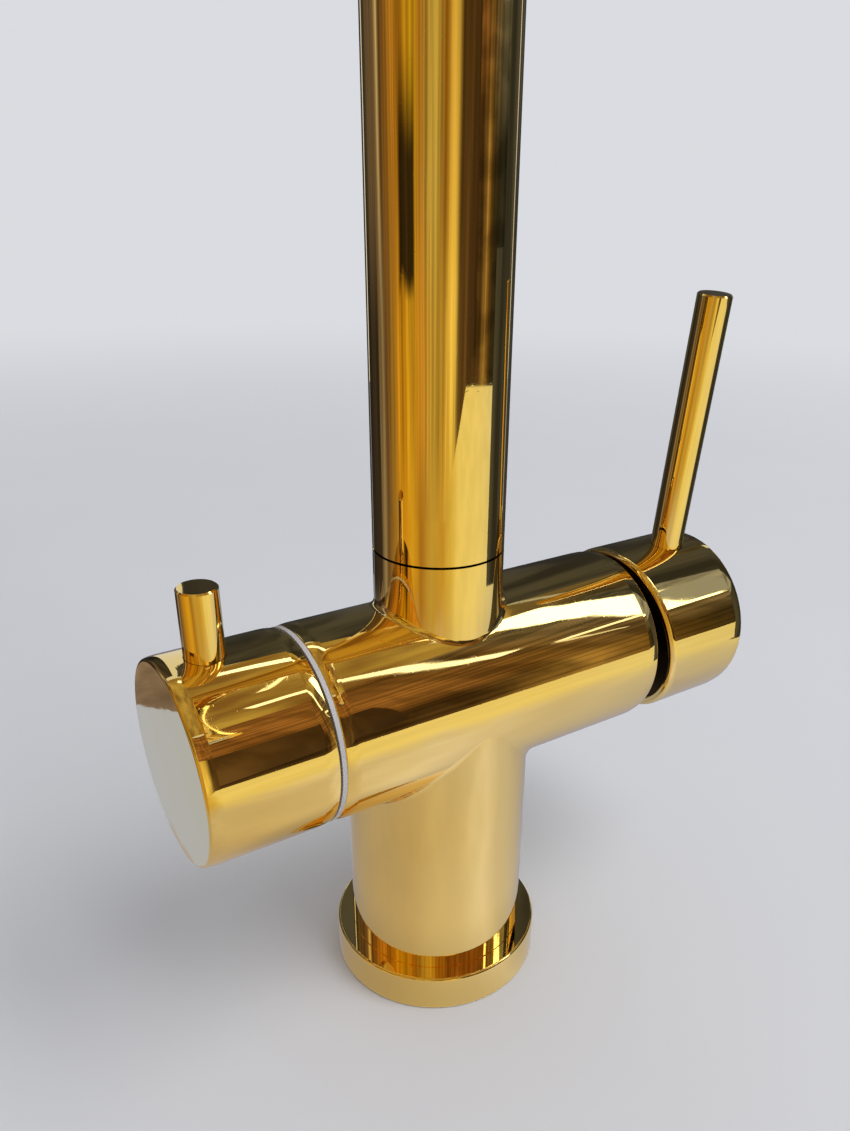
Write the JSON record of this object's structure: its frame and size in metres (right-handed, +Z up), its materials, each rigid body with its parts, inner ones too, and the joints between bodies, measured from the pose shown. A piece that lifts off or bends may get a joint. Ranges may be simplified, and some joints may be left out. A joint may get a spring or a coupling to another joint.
{
  "type": "three way kitchen tap",
  "caption": "Single-hole kitchen tap with a T-shaped body, a lever handle for mixed water at one end, a pin handle for filtered water at the other and a swan-neck swivel spout between them.",
  "frame": {"origin": "centre of the base where the tap meets the worktop, on the column's axis", "axes": "+Z up along the column; X along the cross barrel, +X towards the mixer handle; the spout points along -Y at rest"},
  "size_m": [0.1502, 0.242, 0.462],
  "materials": {
    "polished_gold": "mirror polished gold plate",
    "dark_bronze": "dark oxidised, satin",
    "plain_brass": "turned, bare",
    "zinc_steel": "zinc plated",
    "black_rubber": "matt",
    "light_grey_plastic": "satin",
    "white_plastic": "satin",
    "natural_nylon": "satin",
    "grey_ceramic": "lapped",
    "plain_steel": "turned"
  },
  "bodies": {
    "tap_body": {"body_casting": "polished_gold", "base_ring": "polished_gold", "base_seal": "black_rubber", "inlet_block": "plain_brass", "inlet_gasket": "black_rubber", "inlet_circlip": "plain_steel", "fixing_stud": "zinc_steel", "fixing_rubber_horseshoe": "black_rubber", "fixing_steel_horseshoe": "zinc_steel", "fixing_nut": "plain_brass", "spout_bushes": "natural_nylon", "spout_o_rings": "black_rubber", "inner_tube_o_ring": "black_rubber", "filter_slip_ring": "light_grey_plastic", "filter_valve_body": "plain_brass", "filter_fixed_disc": "grey_ceramic", "filter_seat_seal": "black_rubber", "cartridge_nut": "plain_brass", "cartridge_dome": "dark_bronze", "cartridge_housing": "white_plastic", "cartridge_base": "white_plastic", "cartridge_port_seals": "black_rubber", "cartridge_fixed_disc": "grey_ceramic"},
    "spout": {"spout_tube": "polished_gold", "spout_grub_screw": "plain_steel", "filtered_inner_tube": "white_plastic", "nozzle_collar": "polished_gold", "aerator_insert": "white_plastic", "aerator_seal": "black_rubber", "filtered_nozzle": "white_plastic"},
    "filter_handle": {"filter_knob": "polished_gold", "filter_pin": "polished_gold", "filter_grub_screw": "plain_steel", "filter_valve_spindle": "plain_brass", "filter_moving_disc": "grey_ceramic", "filter_spindle_o_ring": "black_rubber"},
    "mixer_turntable": {"cartridge_rotor": "white_plastic", "cartridge_pivot_pin": "plain_steel"},
    "mixer_handle": {"mixer_knob": "polished_gold", "mixer_lever": "polished_gold", "mixer_grub_screw": "plain_steel", "cartridge_stem": "plain_brass"},
    "mixing_disc": {"cartridge_moving_disc": "grey_ceramic", "cartridge_disc_carrier": "white_plastic"}
  },
  "joints": [
    {"name": "spout_swivel", "type": "hinge", "parent": "tap_body", "child": "spout", "pos_m": [0, 0, 0.117], "axis": [0, 0, 1], "continuous": true},
    {"name": "filter_turn", "type": "hinge", "parent": "tap_body", "child": "filter_handle", "pos_m": [-0.052, 0, 0.081], "axis": [1, 0, 0], "range_deg": [0, 90]},
    {"name": "mixer_turn", "type": "hinge", "parent": "tap_body", "child": "mixer_turntable", "pos_m": [0.041, 0, 0.081], "axis": [1, 0, 0], "range_deg": [-55, 45]},
    {"name": "mixer_tilt", "type": "hinge", "parent": "mixer_turntable", "child": "mixer_handle", "pos_m": [0.041, 0, 0.081], "axis": [0, 0.9962, 0.0872], "range_deg": [0, 20]},
    {"name": "mixing_disc_slide", "type": "slide", "parent": "mixer_turntable", "child": "mixing_disc", "axis": [0, -0.0872, 0.9962], "range_m": [0, 0.00223]}
  ],
  "couplings": [
    {"joint": "mixing_disc_slide", "follows": "mixer_tilt", "m_per_rad": 0.006368}
  ]
}
